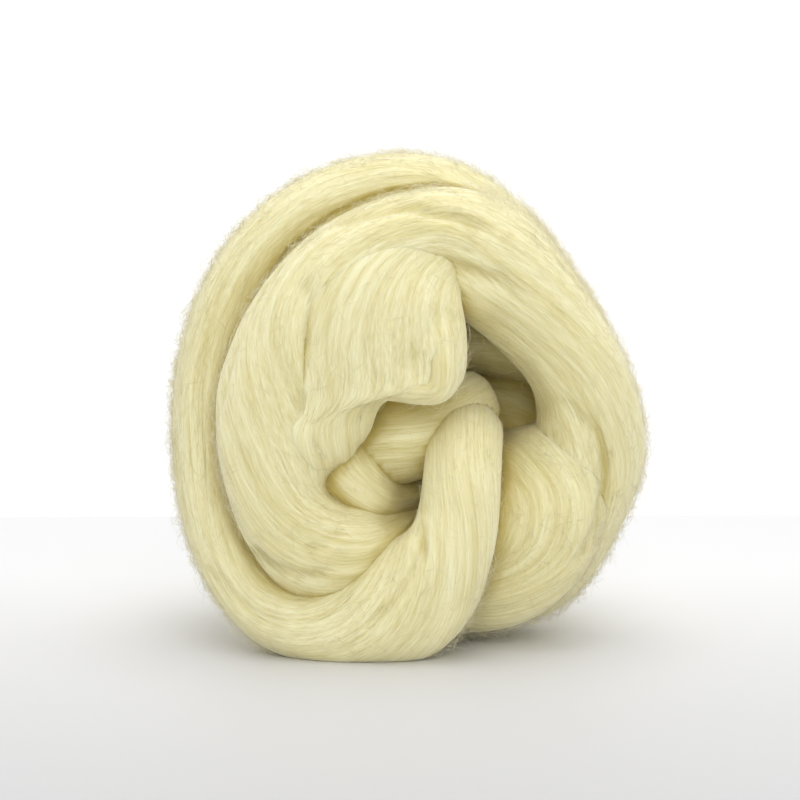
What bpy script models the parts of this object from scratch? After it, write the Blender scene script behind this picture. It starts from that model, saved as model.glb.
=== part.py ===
"""Wool roving: a nest of combed wool top, wound by hand and stood on its edge.

The nest is one length of soft untwisted sliver. It comes up through the middle as a
strand, bends down and round to the outer wrap, and folds over itself in a wide band,
a petal and a few inner laps. Each lap is a loft between oval sections, and the laps
are fused into one solid. The middle of the base is the origin, -Y is the side with the
folded laps, and +Z is up.
"""
import math

import bmesh
import bpy
import numpy as np
from mathutils import Matrix

MM = 0.001

# Driving sizes, in mm.
CENTRE_UP = 80.0
FLOOR_WIDTH = 300.0

# The laps are laid out round the winding's own centre, and these two move the nest so
# that the middle of its box is over the origin.
MIDDLE_ACROSS = -0.8
MIDDLE_DEPTH = 10.1

# How finely the solid follows the wool.
SECTION_SIDES = 24
SECTION_POWER = 2.05
STEPS_A_ROW = 5
VOXEL = 2.2
SMOOTH_PASSES = 4
KEPT_SHARE = 0.16

CREAM = (0.83, 0.79, 0.55, 1.0)

# The laps on the folded side, in mm. A row is one section across the lap:
# inner edge (across, up), outer edge (across, up), how far front its middle lies, thickness.
WRAP = [
    (15, 56, 29, 60, -14, 18),
    (8, 67, 30, 68, 2, 20),
    (6, 69, 29.5, 67, 17, 22),
    (4, 58, 28.5, 58, 29, 23),
    (2.5, 46, 27.5, 44, 34, 24),
    (-2, 40, 25, 28, 36, 26),
    (-7.5, 35, 19, 11.5, 36, 27),
    (-14, 29.5, 6.5, 0.5, 35, 28),
    (-22, 24, -8, -3, 33, 28),
    (-31, 21, -29, -3, 30, 29),
    (-40, 24, -49, 3, 25, 30),
    (-46, 33, -64, 18, 18, 30),
    (-50, 46, -73.5, 37, 10, 30),
    (-52, 64, -78, 60, 3, 31),
    (-52, 84, -77.5, 86, 1, 32),
    (-46, 104, -70.5, 112, 0, 32),
    (-35, 121, -55, 136, 0, 32),
    (-19, 132, -31, 153, -1, 32),
    (-1, 136, -4, 159, -3, 31),
    (16, 133, 20, 154.5, -4, 30),
    (29, 123, 40, 138, -5, 30),
    (40, 105, 53, 117, -9, 30),
    (45, 84, 64, 90, -14, 30),
    (44, 62, 69, 60, -17, 31),
    (37, 42, 60, 29, -19, 31),
    (22, 29, 35, 7, -21, 30),
]
BAND = [
    (14, 24, 18, 3, -8, 22),
    (28, 28, 44, 4.5, -6, 27),
    (38, 39, 58.8, 17, -2, 31),
    (43, 53, 69.8, 37.5, 1, 34),
    (42, 66, 76.5, 58, 4, 36),
    (41, 77, 75.5, 76, 7, 36),
    (37.5, 86.5, 68.5, 96, 10, 36),
    (28.5, 95.5, 56, 116, 12, 35),
    (17.5, 105, 41, 134, 14, 34),
    (8.5, 115.5, 25, 145.3, 15, 32),
    (1, 121, 8, 149, 17, 30),
    (-10, 115.5, -17.5, 142, 20, 29),
    (-17, 107, -37, 129, 23, 29),
    (-22, 97, -52, 109, 26, 30),
    (-25, 83, -61, 85, 28, 31),
    (-27, 66, -61, 64, 30, 31),
    (-28, 54, -56, 44, 31, 30),
    (-22, 48, -45, 25, 32, 28),
    (-15, 46, -28, 17, 32, 25),
    (-9, 44, -12, 26, 27, 19),
    (-3, 44, -3, 35, 18, 13),
    (3, 44, 6, 38, 4, 10),
]
PETAL = [
    (14, 118, 8, 124.5, 8, 15),
    (12, 118, 1, 125.5, 17, 19),
    (12.5, 117.5, -10, 125.5, 22.5, 22),
    (14, 114.5, -24, 121.5, 27, 24),
    (15.5, 111, -37, 113, 30, 26),
    (17.3, 103, -44, 100, 31, 27),
    (17.3, 94, -45, 88, 31, 27),
    (15.7, 89, -45, 80.5, 31, 27),
    (9.5, 87.5, -44.5, 75, 31, 26.5),
    (0, 86.5, -43.5, 70.5, 31, 26),
    (-8, 82.5, -42, 68, 31, 24.5),
    (-11.5, 77.5, -40, 66.5, 30, 22.5),
    (-13.5, 74, -38, 66.5, 26.5, 19),
    (-15.5, 72, -35, 67.5, 21, 15),
    (-18, 71, -31, 69, 14, 10),
]
PETAL_LIP = [
    (4, 103, 12, 104, 24, 12),
    (6, 95, 14.7, 95, 34, 18),
    (5.5, 90, 14.7, 87, 34.5, 19),
    (4, 89, 10.5, 81, 34, 18),
    (-1, 89, 1.5, 81, 33.5, 15),
    (-8, 90, -7, 84, 30, 11),
    (-14, 90, -14, 85.5, 25, 7),
]
INNER_LAP = [
    (-18, 69, -32, 64, 6, 14),
    (-15.5, 67, -31.5, 57, 15, 18),
    (-12.5, 63.5, -27.5, 49.5, 22, 20),
    (-9.5, 58, -19, 44.5, 24.5, 19),
    (-5, 53.5, -9, 42, 14, 15),
    (6, 56, 4, 42, 4, 14),
]
CORE = [
    (-32, 52, -34, 76, -6, 20),
    (-18, 53, -19, 82, 8, 24),
    (-5, 53, -6, 85, 15, 27),
    (6, 55, 2, 86, 14, 26),
    (17, 60, 11, 87, 6, 24),
    (26, 68, 20, 88, -6, 20),
]
SIDE_LAP = [
    (30, 52, 37, 57, -20, 12),
    (29, 52, 48, 63, -9, 18),
    (27, 51, 59, 67.5, 3, 22),
    (25, 48, 62.5, 61, 10.5, 25),
    (23, 42, 63.3, 46, 16, 28),
    (21, 33, 60, 29, 16, 28),
    (18, 23, 47, 12.5, 13, 27),
    (13, 18, 27, 4, 8, 23),
    (1, 16, 5, 2, 1, 18),
]
DEEP_LAP = [
    (2, 86, 0, 106, -24, 20),
    (17, 87, 16, 109, -16, 22),
    (32, 85, 34, 107, -14, 22),
    (47, 82, 54, 99, -16, 18),
]
HIND_LAP = [
    (12, 66, 12, 86, -28, 18),
    (24, 64, 26, 86, -22, 20),
    (37, 60, 42, 82, -17, 20),
    (50, 52, 58, 72, -13, 18),
]
TAIL = [
    (-58, 114, -34, 132, -36, 18),
    (-50, 94, -16, 114, -52, 18),
    (-38, 77, 0, 93, -59, 18),
    (-20, 60, 10, 78, -61, 17),
    (-4, 47, 18, 64, -58, 16),
    (10, 42, 24, 56, -47, 12),
]
# The wound wool that the laps hide, as ellipsoids, in mm: across, up, front, half width,
# half height, half depth.
FILLS = [
    (0, 80, -17, 60, 60, 23),
    (17, 46, 10, 17, 32, 13),
    (-28, 80, 12, 24, 40, 14),
    (0, 100, 8, 17, 24, 13),
]
LAPS = {
    "wrap": WRAP,
    "band": BAND,
    "petal": PETAL,
    "petal_lip": PETAL_LIP,
    "inner_lap": INNER_LAP,
    "core": CORE,
    "side_lap": SIDE_LAP,
    "deep_lap": DEEP_LAP,
    "hind_lap": HIND_LAP,
    "tail": TAIL,
}

# The turns behind the wrap: angle (degrees, from the right, anticlockwise), middle radius,
# width, how far front, thickness.
BACK_TURNS = [
    (-60, 65, 27, -24, 32),
    (-95, 68.5, 29, -26, 34),
    (-180, 62, 27, -28, 33),
    (-300, 53, 28, -31, 34),
    (-340, 51, 28, -33, 34),
    (-400, 57, 29, -36, 33),
    (-450, 63, 31, -39, 32),
    (-540, 56, 32, -42, 30),
    (-660, 49, 33, -46, 28),
    (-780, 42, 33, -49, 27),
    (-900, 33, 31, -52, 26),
    (-1020, 23, 29, -54, 24),
    (-1140, 13, 26, -55, 22),
    (-1220, 5, 18, -51, 16),
]
SIDE_TURN = [
    (265, 68, 31, 9, 36),
    (190, 51, 28, 2, 28),
    (80, 50, 27, 1, 27),
    (-20, 59, 25, -2, 28),
    (-95, 68, 31, -3, 32),
    (-160, 54, 26, -6, 26),
]
TURN_STEP = 20.0


def back_rows(turns):
    """Section rows round the centre, from a table of turns."""
    table = np.array(turns, dtype=float)
    total = abs(table[-1, 0] - table[0, 0])
    count = int(total / TURN_STEP) + 1
    place = np.linspace(0.0, 1.0, count) * total
    known = np.abs(table[:, 0] - table[0, 0])
    rows = []
    for distance in place:
        angle = math.radians(table[0, 0] - distance)
        radius, width, front, thick = (np.interp(distance, known, table[:, k]) for k in range(1, 5))
        radius += 1.2 * math.sin(3 * angle + 0.7) + 0.8 * math.sin(5 * angle + 2.0)
        width += 1.5 * math.sin(2.3 * angle)
        inner, outer = radius - width / 2, radius + width / 2
        row = [inner * math.cos(angle), CENTRE_UP + inner * math.sin(angle)]
        row += [outer * math.cos(angle), CENTRE_UP + outer * math.sin(angle)]
        rows.append((*row, front, thick))
    return rows


def smoothed(rows):
    """The rows with stations between them, on a smooth curve through each."""
    known = np.array(rows, dtype=float)
    known = np.vstack([2 * known[0] - known[1], known, 2 * known[-1] - known[-2]])
    stations = []
    for a, b, c, d in zip(known, known[1:], known[2:], known[3:]):
        for step in range(STEPS_A_ROW):
            t = step / STEPS_A_ROW
            stations.append(0.5 * (2 * b + (c - a) * t + (2 * a - 5 * b + 4 * c - d) * t ** 2
                                   + (3 * b - a - 3 * c + d) * t ** 3))
    stations.append(known[-2])
    return np.array(stations)


def placed(across, front, up):
    """Points of the object, in metres, from the winding's own sizes."""
    return np.stack([across - MIDDLE_ACROSS, -front - MIDDLE_DEPTH, up], axis=-1) * MM


def heading(edge):
    """The way an edge runs at each station, shorter where the edge hardly moves."""
    step = np.gradient(edge, axis=0)
    length = np.linalg.norm(step, axis=1)
    return step / (length + 0.3 * length.mean())[:, None]


def sections(rows):
    """Oval sections of a lap, one ring of points a station."""
    inner_across, inner_up, outer_across, outer_up, front, thick = smoothed(rows).T
    inner = placed(inner_across, front, inner_up)
    outer = placed(outer_across, front, outer_up)
    middle = (inner + outer) / 2
    half_width = (outer - inner) / 2
    along = heading(inner) + heading(outer)
    through = np.cross(half_width, along)
    through /= np.linalg.norm(through, axis=1)[:, None]
    through *= thick[:, None] * MM / 2
    turn = np.linspace(0, 2 * math.pi, SECTION_SIDES, endpoint=False)
    wide = np.sign(np.cos(turn)) * np.abs(np.cos(turn)) ** (2 / SECTION_POWER)
    high = np.sign(np.sin(turn)) * np.abs(np.sin(turn)) ** (2 / SECTION_POWER)
    return (middle[:, None] + half_width[:, None] * wide[None, :, None]
            + through[:, None] * high[None, :, None])


def loft(mesh, rings):
    """Add a closed loft through the rings to the mesh."""
    loops = [[mesh.verts.new(point) for point in ring] for ring in rings]
    for near, far in zip(loops, loops[1:]):
        for k in range(SECTION_SIDES):
            after = (k + 1) % SECTION_SIDES
            mesh.faces.new((near[k], near[after], far[after], far[k]))
    mesh.faces.new(reversed(loops[0]))
    mesh.faces.new(loops[-1])


def fused(name, laps):
    """One object that holds every lap and the inner turns, fused by its Remesh."""
    mesh = bmesh.new()
    for rows in laps:
        loft(mesh, sections(rows))
    for across, up, front, half_width, half_height, half_depth in FILLS:
        middle = Matrix.Translation(placed(across, front, up))
        shape = Matrix.Diagonal((half_width, half_depth, half_height, 1))
        bmesh.ops.create_uvsphere(mesh, u_segments=32, v_segments=16, radius=MM, matrix=middle @ shape)
    bmesh.ops.recalc_face_normals(mesh, faces=mesh.faces)
    data = bpy.data.meshes.new(name)
    mesh.to_mesh(data)
    mesh.free()
    nest = bpy.data.objects.new(name, data)
    remesh = nest.modifiers.new("fuse the laps", "REMESH")
    remesh.mode = "VOXEL"
    remesh.voxel_size = VOXEL * MM
    soften = nest.modifiers.new("soften the creases", "SMOOTH")
    soften.factor = 0.5
    soften.iterations = SMOOTH_PASSES
    thin = nest.modifiers.new("fewer triangles", "DECIMATE")
    thin.ratio = KEPT_SHARE
    thin.use_collapse_triangulate = True
    return nest


def floor_cutter():
    """A box whose top is the floor, to press the base flat."""
    width = FLOOR_WIDTH * MM
    bpy.ops.mesh.primitive_cube_add(size=width, location=(0, 0, -width / 2))
    cutter = bpy.context.object
    cutter.name = "floor_cutter"
    cutter.hide_render = True
    cutter.display_type = "WIRE"
    return cutter


def wool():
    """Matt cream fibre with a soft sheen."""
    material = bpy.data.materials.new("cream wool")
    material.use_nodes = True
    shader = material.node_tree.nodes["Principled BSDF"]
    shader.inputs["Base Color"].default_value = CREAM
    shader.inputs["Roughness"].default_value = 0.85
    shader.inputs["Metallic"].default_value = 0.0
    shader.inputs["Sheen Weight"].default_value = 0.3
    return material


def collection(name, objects):
    """A new collection that alone holds the objects."""
    made = bpy.data.collections.new(name)
    bpy.context.scene.collection.children.link(made)
    for each in objects:
        for old in each.users_collection:
            old.objects.unlink(each)
        made.objects.link(each)


def main():
    for each in list(bpy.data.objects):
        bpy.data.objects.remove(each)
    laps = [*LAPS.values(), back_rows(BACK_TURNS), back_rows(SIDE_TURN)]
    nest = fused("wool_roving", laps)
    nest.data.materials.append(wool())
    cutter = floor_cutter()
    press = nest.modifiers.new("flat base", "BOOLEAN")
    press.object = cutter
    press.solver = "EXACT"
    collection("wool roving", [nest])
    collection("cutters", [cutter])


if __name__ == "__main__":
    main()
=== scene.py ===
# %% [markdown]
# # A nest of wool roving
#
# Roving, or combed top, is a long soft rope of wool fibres that all lie side by side and
# aren't twisted. Here one length of it is wound into a nest that stands on its edge. The
# strand comes up out of the middle, bends down, fans out at the bottom and runs round the
# outside. It then folds over itself in a wide band, a petal and some smaller laps.
#
# The nest is built in four layers, from the coarse to the fine:
#
# 1. a smooth body for each lap of the roving,
# 2. furrows and creases that run the way the fibres run,
# 3. thousands of thin loose fibres on top,
# 4. a finish with streaks along the same way.

# %% Load the frame
import math

import bmesh
import bpy
import numpy as np
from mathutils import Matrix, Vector
from mathutils.bvhtree import BVHTree


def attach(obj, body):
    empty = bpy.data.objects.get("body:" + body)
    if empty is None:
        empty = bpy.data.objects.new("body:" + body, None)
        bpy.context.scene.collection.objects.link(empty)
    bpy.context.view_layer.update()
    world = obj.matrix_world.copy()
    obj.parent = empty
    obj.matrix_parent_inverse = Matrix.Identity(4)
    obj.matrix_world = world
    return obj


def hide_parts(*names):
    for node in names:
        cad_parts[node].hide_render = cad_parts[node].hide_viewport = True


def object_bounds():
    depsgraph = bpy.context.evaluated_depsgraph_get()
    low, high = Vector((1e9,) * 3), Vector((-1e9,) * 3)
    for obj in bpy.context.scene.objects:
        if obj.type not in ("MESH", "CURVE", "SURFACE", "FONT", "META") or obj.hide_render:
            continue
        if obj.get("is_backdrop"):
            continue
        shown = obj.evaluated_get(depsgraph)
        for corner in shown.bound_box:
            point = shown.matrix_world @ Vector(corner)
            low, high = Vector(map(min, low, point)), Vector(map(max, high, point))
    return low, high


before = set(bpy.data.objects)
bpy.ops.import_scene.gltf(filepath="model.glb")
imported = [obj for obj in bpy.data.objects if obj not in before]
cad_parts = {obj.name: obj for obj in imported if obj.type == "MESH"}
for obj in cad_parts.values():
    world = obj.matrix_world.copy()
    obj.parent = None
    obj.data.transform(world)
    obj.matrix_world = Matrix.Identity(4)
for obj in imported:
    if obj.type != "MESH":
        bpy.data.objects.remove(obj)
CAD_BOX = [list(corner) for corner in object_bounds()]
bpy.ops.object.select_all(action="DESELECT")
print("solid's box, mm:", [[round(1000 * value, 1) for value in corner] for corner in CAD_BOX])

# %% [markdown]
# ## Sizes
#
# The laps are laid out in millimetres: across to the right, up from the table, and how far
# to the front. The winding's own middle isn't the middle of the finished nest's box, so
# two small shifts put it where the solid has it.

# %% Units, and the way between a lap's own sizes and the scene
MM = 0.001
# The winding's centre lies this far over the table, and the nest's middle this far to the
# right of it and to the front of it, in mm.
CENTRE_UP = 80.0
MIDDLE_ACROSS = -0.8
MIDDLE_DEPTH = 10.1
# No wool goes below this height over the table, in metres, and no fibre that lies on it
# below the second.
LOWEST = 0.1 * MM
LOWEST_FIBRE = 0.15 * MM


def placed(across, front, up):
    """Points of the scene, in metres, from the winding's own sizes."""
    return np.stack([across - MIDDLE_ACROSS, -front - MIDDLE_DEPTH, up], axis=-1) * MM


def winding_place(points):
    """Across and up in mm, as the tables have them, and how far to the front."""
    across = points[:, 0] / MM + MIDDLE_ACROSS
    return across, points[:, 2] / MM, -points[:, 1] / MM - MIDDLE_DEPTH


def eased(part):
    """A share from 0 to 1, with a soft start and a soft end."""
    return part ** 2 * (3 - 2 * part)


# %% [markdown]
# ## The laps
#
# A lap could be a curve with a round bevel, but a strand of roving is soft: it flattens
# where it is pressed, spreads where it fans out and narrows where it is pinched. So each
# row below is one oval section across the lap, from its inner edge to its outer edge.

# %% The laps on the folded side
# A row is: inner edge (across, up), outer edge (across, up), front, thickness.
LAPS = {
    "wrap": [
        (15, 56, 29, 60, -14, 18),
        (8, 67, 30, 68, 2, 20),
        (6, 69, 29.5, 67, 17, 22),
        (4, 58, 28.5, 58, 29, 23),
        (2.5, 46, 27.5, 44, 34, 24),
        (-2, 40, 25, 28, 36, 26),
        (-7.5, 35, 19, 11.5, 36, 27),
        (-14, 29.5, 6.5, 0.5, 35, 28),
        (-22, 24, -8, -3, 33, 28),
        (-31, 21, -29, -3, 30, 29),
        (-40, 24, -49, 3, 25, 30),
        (-46, 33, -64, 18, 18, 30),
        (-50, 46, -73.5, 37, 10, 30),
        (-52, 64, -78, 60, 3, 31),
        (-52, 84, -77.5, 86, 1, 32),
        (-46, 104, -70.5, 112, 0, 32),
        (-35, 121, -55, 136, 0, 32),
        (-19, 132, -31, 153, -1, 32),
        (-1, 136, -4, 159, -3, 31),
        (16, 133, 20, 154.5, -4, 30),
        (29, 123, 40, 138, -5, 30),
        (40, 105, 53, 117, -9, 30),
        (45, 84, 64, 90, -14, 30),
        (44, 62, 69, 60, -17, 31),
        (37, 42, 60, 29, -19, 31),
        (22, 29, 35, 7, -21, 30),
    ],
    "band": [
        (14, 24, 18, 3, -8, 22),
        (28, 28, 44, 4.5, -6, 27),
        (38, 39, 58.8, 17, -2, 31),
        (43, 53, 69.8, 37.5, 1, 34),
        (42, 66, 76.5, 58, 4, 36),
        (41, 77, 75.5, 76, 7, 36),
        (37.5, 86.5, 68.5, 96, 10, 36),
        (28.5, 95.5, 56, 116, 12, 35),
        (17.5, 105, 41, 134, 14, 34),
        (8.5, 115.5, 25, 145.3, 15, 32),
        (1, 121, 8, 149, 17, 30),
        (-10, 115.5, -17.5, 142, 20, 29),
        (-17, 107, -37, 129, 23, 29),
        (-22, 97, -52, 109, 26, 30),
        (-25, 83, -61, 85, 28, 31),
        (-27, 66, -61, 64, 30, 31),
        (-28, 54, -56, 44, 31, 30),
        (-22, 48, -45, 25, 32, 28),
        (-15, 46, -28, 17, 32, 25),
        (-9, 44, -12, 26, 27, 19),
        (-3, 44, -3, 35, 18, 13),
        (3, 44, 6, 38, 4, 10),
    ],
    "petal": [
        (14, 118, 8, 124.5, 8, 15),
        (12, 118, 1, 125.5, 17, 19),
        (12.5, 117.5, -10, 125.5, 22.5, 22),
        (14, 114.5, -24, 121.5, 27, 24),
        (15.5, 111, -37, 113, 30, 26),
        (17.3, 103, -44, 100, 31, 27),
        (17.3, 94, -45, 88, 31, 27),
        (15.7, 89, -45, 80.5, 31, 27),
        (9.5, 87.5, -44.5, 75, 31, 26.5),
        (0, 86.5, -43.5, 70.5, 31, 26),
        (-8, 82.5, -42, 68, 31, 24.5),
        (-11.5, 77.5, -40, 66.5, 30, 22.5),
        (-13.5, 74, -38, 66.5, 26.5, 19),
        (-15.5, 72, -35, 67.5, 21, 15),
        (-18, 71, -31, 69, 14, 10),
    ],
    "petal_lip": [
        (4, 103, 12, 104, 24, 12),
        (6, 95, 14.7, 95, 34, 18),
        (5.5, 90, 14.7, 87, 34.5, 19),
        (4, 89, 10.5, 81, 34, 18),
        (-1, 89, 1.5, 81, 33.5, 15),
        (-8, 90, -7, 84, 30, 11),
        (-14, 90, -14, 85.5, 25, 7),
    ],
    "inner_lap": [
        (-18, 69, -32, 64, 6, 14),
        (-15.5, 67, -31.5, 57, 15, 18),
        (-12.5, 63.5, -27.5, 49.5, 22, 20),
        (-9.5, 58, -19, 44.5, 24.5, 19),
        (-5, 53.5, -9, 42, 14, 15),
        (6, 56, 4, 42, 4, 14),
    ],
    "core": [
        (-32, 52, -34, 76, -6, 20),
        (-18, 53, -19, 82, 8, 24),
        (-5, 53, -6, 85, 15, 27),
        (6, 55, 2, 86, 14, 26),
        (17, 60, 11, 87, 6, 24),
        (26, 68, 20, 88, -6, 20),
    ],
    "side_lap": [
        (30, 52, 37, 57, -20, 12),
        (29, 52, 48, 63, -9, 18),
        (27, 51, 59, 67.5, 3, 22),
        (25, 48, 62.5, 61, 10.5, 25),
        (23, 42, 63.3, 46, 16, 28),
        (21, 33, 60, 29, 16, 28),
        (18, 23, 47, 12.5, 13, 27),
        (13, 18, 27, 4, 8, 23),
        (1, 16, 5, 2, 1, 18),
    ],
    "deep_lap": [
        (2, 86, 0, 106, -24, 20),
        (17, 87, 16, 109, -16, 22),
        (32, 85, 34, 107, -14, 22),
        (47, 82, 54, 99, -16, 18),
    ],
    "hind_lap": [
        (12, 66, 12, 86, -28, 18),
        (24, 64, 26, 86, -22, 20),
        (37, 60, 42, 82, -17, 20),
        (50, 52, 58, 72, -13, 18),
    ],
    "tail": [
        (-58, 114, -34, 132, -36, 18),
        (-50, 94, -16, 114, -52, 18),
        (-38, 77, 0, 93, -59, 18),
        (-20, 60, 10, 78, -61, 17),
        (-4, 47, 18, 64, -58, 16),
        (10, 42, 24, 56, -47, 12),
    ],
}

# %% The turns behind them
# A row is: angle in degrees from the right, middle radius, width, front, thickness.
TURNS = {
    "back_turns": [
        (-60, 65, 27, -24, 32),
        (-95, 68.5, 29, -26, 34),
        (-180, 62, 27, -28, 33),
        (-300, 53, 28, -31, 34),
        (-340, 51, 28, -33, 34),
        (-400, 57, 29, -36, 33),
        (-450, 63, 31, -39, 32),
        (-540, 56, 32, -42, 30),
        (-660, 49, 33, -46, 28),
        (-780, 42, 33, -49, 27),
        (-900, 33, 31, -52, 26),
        (-1020, 23, 29, -54, 24),
        (-1140, 13, 26, -55, 22),
        (-1220, 5, 18, -51, 16),
    ],
    "side_turn": [
        (265, 68, 31, 9, 36),
        (190, 51, 28, 2, 28),
        (80, 50, 27, 1, 27),
        (-20, 59, 25, -2, 28),
        (-95, 68, 31, -3, 32),
        (-160, 54, 26, -6, 26),
    ],
}
# Degrees from one row of a turn to the next.
TURN_STEP = 20.0
# How unevenly the turns are wound: the height of a wave in mm, waves in a turn, and start.
# The strand's width changes in a wave too.
RADIUS_WAVES = [(1.2, 3, 0.7), (0.8, 5, 2.0)]
WIDTH_WAVE = (1.5, 2.3)


def turn_rows(turns):
    """Section rows round the centre, from a table of turns."""
    table = np.array(turns, dtype=float)
    total = abs(table[-1, 0] - table[0, 0])
    place = np.linspace(0.0, total, int(total / TURN_STEP) + 1)
    known = np.abs(table[:, 0] - table[0, 0])
    rows = []
    for distance in place:
        angle = math.radians(table[0, 0] - distance)
        radius, width, front, thick = (np.interp(distance, known, table[:, k]) for k in range(1, 5))
        radius += sum(high * math.sin(waves * angle + start) for high, waves, start in RADIUS_WAVES)
        width += WIDTH_WAVE[0] * math.sin(WIDTH_WAVE[1] * angle)
        inner, outer = radius - width / 2, radius + width / 2
        row = [inner * math.cos(angle), CENTRE_UP + inner * math.sin(angle)]
        row += [outer * math.cos(angle), CENTRE_UP + outer * math.sin(angle)]
        rows.append((*row, front, thick))
    return rows


for name, turns in TURNS.items():
    LAPS[name] = turn_rows(turns)
print("rows:", {name: len(rows) for name, rows in LAPS.items()})

# %% [markdown]
# ## From rows to sections
#
# A smooth curve goes through each column of a table, and stations are read from it. The
# section is a soft oval, a little squarer than an ellipse, because laps that lie against
# each other flatten each other's sides.

# %% Sections of a lap
SIDES = 32
# An ellipse has the power 2, and a box has a very high one.
SECTION_POWER = 2.05
# How much of an edge's mean step is added to each, so that a pinched edge hardly steers.
STEADYING = 0.3
TURN = np.linspace(0, 2 * math.pi, SIDES, endpoint=False)


def smoothed(rows, steps):
    """The rows with stations between them, on a Catmull-Rom curve through each column."""
    known = np.array(rows, dtype=float)
    known = np.vstack([2 * known[0] - known[1], known, 2 * known[-1] - known[-2]])
    stations = []
    for a, b, c, d in zip(known, known[1:], known[2:], known[3:]):
        for step in range(steps):
            t = step / steps
            stations.append(0.5 * (2 * b + (c - a) * t + (2 * a - 5 * b + 4 * c - d) * t ** 2
                                   + (3 * b - a - 3 * c + d) * t ** 3))
    stations.append(known[-2])
    return np.array(stations)


def heading(edge):
    """The way an edge runs at each station, shorter where the edge hardly moves."""
    step = np.gradient(edge, axis=0)
    length = np.linalg.norm(step, axis=1)
    return step / (length + STEADYING * length.mean())[:, None]


def sections(rows, steps, turn=TURN):
    """Oval sections of a lap, and how far along it each lies, in metres."""
    inner_across, inner_up, outer_across, outer_up, front, thick = smoothed(rows, steps).T
    inner = placed(inner_across, front, inner_up)
    outer = placed(outer_across, front, outer_up)
    middle = (inner + outer) / 2
    half_width = (outer - inner) / 2
    through = np.cross(half_width, heading(inner) + heading(outer))
    through /= np.linalg.norm(through, axis=1)[:, None]
    through *= thick[:, None] * MM / 2
    wide = np.sign(np.cos(turn)) * np.abs(np.cos(turn)) ** (2 / SECTION_POWER)
    high = np.sign(np.sin(turn)) * np.abs(np.sin(turn)) ** (2 / SECTION_POWER)
    rings = (middle[:, None] + half_width[:, None] * wide[None, :, None]
             + through[:, None] * high[None, :, None])
    steps_along = np.linalg.norm(np.diff(middle, axis=0), axis=1)
    return rings, np.concatenate([[0.0], np.cumsum(steps_along)])


# %% [markdown]
# ## A body for each lap
#
# By hand this is a disc that is extruded again and again, and each new end is moved,
# turned and scaled to the next section. The script does the same: the extrude operator
# makes the new end, and its points are then put on the next section. Each point also
# keeps how far along the lap it is and where round it, because the later steps need to
# know which way the fibres run. The place round the lap is kept as a cosine and a sine,
# so that it has no seam. A Subdivision Surface modifier makes the cage smooth.

# %% Put the ends of a cage in place
STEPS_A_ROW = 2
STEPS_A_TURN = 1
SMOOTHING = 2
LAYERS = ("along", "round_x", "round_y")


def shares_round(rings):
    """How far round the girth each point of each section is, from 0 to 1, and the girths."""
    sides = np.linalg.norm(np.roll(rings, -1, axis=1) - rings, axis=2)
    girths = sides.sum(axis=1)
    before = np.cumsum(sides, axis=1) - sides
    return before / girths[:, None], girths


def put_end(mesh, ring, distance, shares):
    """Put the selected end of the cage on a section."""
    cage = bmesh.from_edit_mesh(mesh)
    side = cage.verts.layers.int["side"]
    along, round_x, round_y = (cage.verts.layers.float[key] for key in LAYERS)
    for point in cage.verts:
        if point.select:
            angle = 2 * math.pi * shares[point[side]]
            point.co = ring[point[side]]
            point[along] = distance
            point[round_x] = math.cos(angle)
            point[round_y] = math.sin(angle)
    bmesh.update_edit_mesh(mesh)


def put_in_order(mesh):
    """Number the points, edges and faces along the lap.

    Extrusions leave them in another order in each run, and random picks read that order."""
    cage = bmesh.from_edit_mesh(mesh)
    along, side = cage.verts.layers.float["along"], cage.verts.layers.int["side"]
    # Sections lie more than SIDES thousandths of a millimetre apart, so no two keys are equal.
    cage.verts.sort(key=lambda point: 1000 / MM * point[along] + point[side])
    cage.verts.index_update()
    for items in (cage.edges, cage.faces):
        numbers = {item: [point.index for point in item.verts] for item in items}
        items.sort(key=lambda item: len(cage.verts) * min(numbers[item]) + max(numbers[item]))
        items.index_update()
    bmesh.update_edit_mesh(mesh)


# %% Extrude each lap
def extruded(name, rows):
    """The closed body of a lap, smoothed, and its mean girth in metres."""
    rings, distances = sections(rows, STEPS_A_TURN if name in TURNS else STEPS_A_ROW)
    shares, girths = shares_round(rings)
    bpy.ops.mesh.primitive_circle_add(vertices=SIDES, radius=0.01, fill_type="NGON")
    lap = bpy.context.object
    lap.name = name
    lap.data.name = name
    bpy.ops.object.mode_set(mode="EDIT")
    bpy.ops.mesh.select_all(action="SELECT")
    cage = bmesh.from_edit_mesh(lap.data)
    for key in LAYERS:
        cage.verts.layers.float.new(key)
    side = cage.verts.layers.int.new("side")
    for index, point in enumerate(cage.verts):
        point[side] = index
    put_end(lap.data, rings[0], distances[0], shares[0])
    for ring, distance, share in zip(rings[1:], distances[1:], shares[1:]):
        bpy.ops.mesh.extrude_region_move()
        put_end(lap.data, ring, distance, share)
    bpy.ops.mesh.select_all(action="SELECT")
    bpy.ops.mesh.normals_make_consistent(inside=False)
    put_in_order(lap.data)
    bpy.ops.object.mode_set(mode="OBJECT")
    bpy.ops.object.transform_apply(location=True, rotation=True, scale=True)
    smooth = lap.modifiers.new("smooth", "SUBSURF")
    smooth.levels = SMOOTHING
    smooth.render_levels = SMOOTHING
    bpy.ops.object.modifier_apply(modifier="smooth")
    bpy.ops.object.shade_smooth()
    lap.select_set(False)
    return lap, girths.mean()


laps = {}
girth = {}
for name, rows in LAPS.items():
    laps[name], girth[name] = extruded(name, rows)
print("girths, mm:", {name: round(1000 * value) for name, value in girth.items()})
print("triangles in the laps:", sum(2 * len(lap.data.polygons) for lap in laps.values()))

# %% [markdown]
# ## Which way the fibres run
#
# Fibres run along a lap, but not quite: a lap turns a little about its own middle as it is
# wound, and every fibre wanders. So the place round the lap is turned by a small twist and
# a slow wander. Furrows, streaks and loose fibres all read this one turned place, so they
# agree with each other.

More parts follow.
